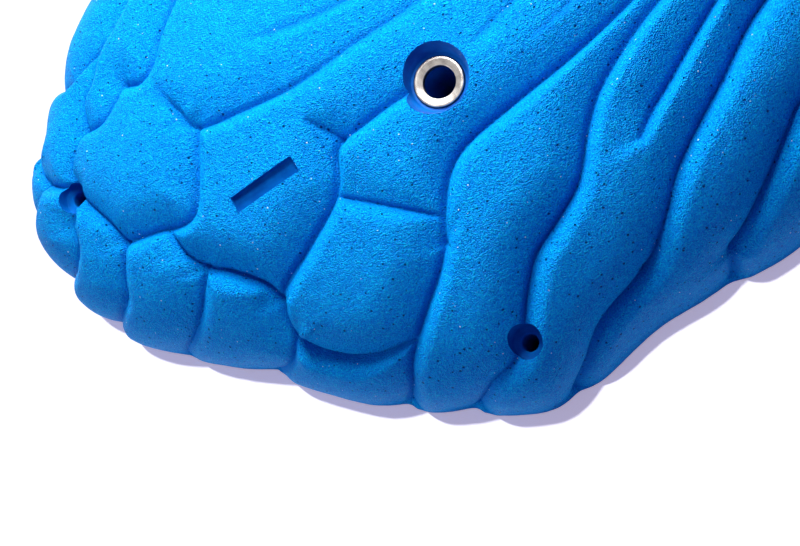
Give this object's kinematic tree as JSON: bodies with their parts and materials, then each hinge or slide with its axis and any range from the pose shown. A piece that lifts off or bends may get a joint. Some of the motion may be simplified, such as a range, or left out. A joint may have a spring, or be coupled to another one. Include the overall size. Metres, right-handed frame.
{
  "type": "climbing hold",
  "caption": "Large bolt-on climbing hold with a rock-like relief of swollen cells and long ribs, a hollow back and a steel washer under the bolt head.",
  "frame": {"origin": "middle of the footprint on the flat back, which bears on the wall", "axes": "+Z out of the wall, +X along the name recess and the hold's long side, +Y up the wall"},
  "size_m": [0.3198, 0.2308, 0.06],
  "materials": {
    "cast_body": "sandy matte cast polyurethane",
    "washer": "turned zinc-plated steel"
  },
  "bodies": {
    "root": {"hold_body": "cast_body", "bolt_washer": "washer"}
  },
  "joints": []
}
